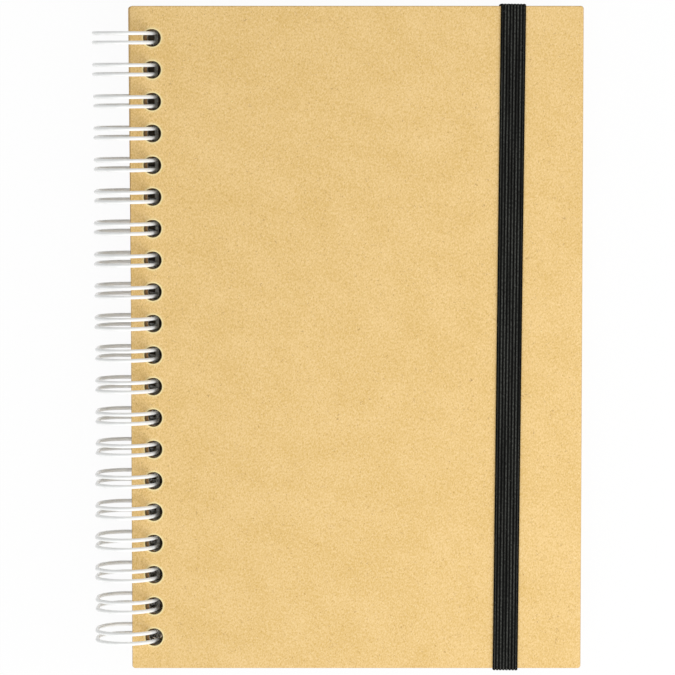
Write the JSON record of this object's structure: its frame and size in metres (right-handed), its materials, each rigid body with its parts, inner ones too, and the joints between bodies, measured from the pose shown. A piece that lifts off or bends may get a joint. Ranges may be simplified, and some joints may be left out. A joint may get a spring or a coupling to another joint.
{
  "type": "spiral notebook",
  "caption": "Pocket notebook with plain kraft board covers, a white double loop wire binding along the spine and a black ribbed elastic closing band",
  "frame": {"origin": "under the middle of the whole notebook, at the lowest point of the wire loops", "axes": "+X from the spine to the fore edge, +Y from the tail to the head, +Z out of the front cover"},
  "size_m": [0.1313, 0.179, 0.018],
  "materials": {
    "kraft_board": "matte",
    "paper": "matte",
    "coated_wire": "gloss",
    "elastic": "matte"
  },
  "bodies": {
    "pages": {"page_block": "paper", "binding_wire": "coated_wire"},
    "front": {"front_cover": "kraft_board"},
    "back": {"back_cover": "kraft_board", "elastic_band": "elastic"}
  },
  "joints": [
    {"name": "front_cover_hinge", "type": "hinge", "parent": "pages", "child": "front", "pos_m": [-0.05669, 0, 0.009], "axis": [0, -1, 0], "range_deg": [0, 180]},
    {"name": "back_cover_hinge", "type": "hinge", "parent": "pages", "child": "back", "pos_m": [-0.05669, 0, 0.009], "axis": [0, 1, 0], "range_deg": [0, 180], "deforming": ["elastic_band"]}
  ]
}
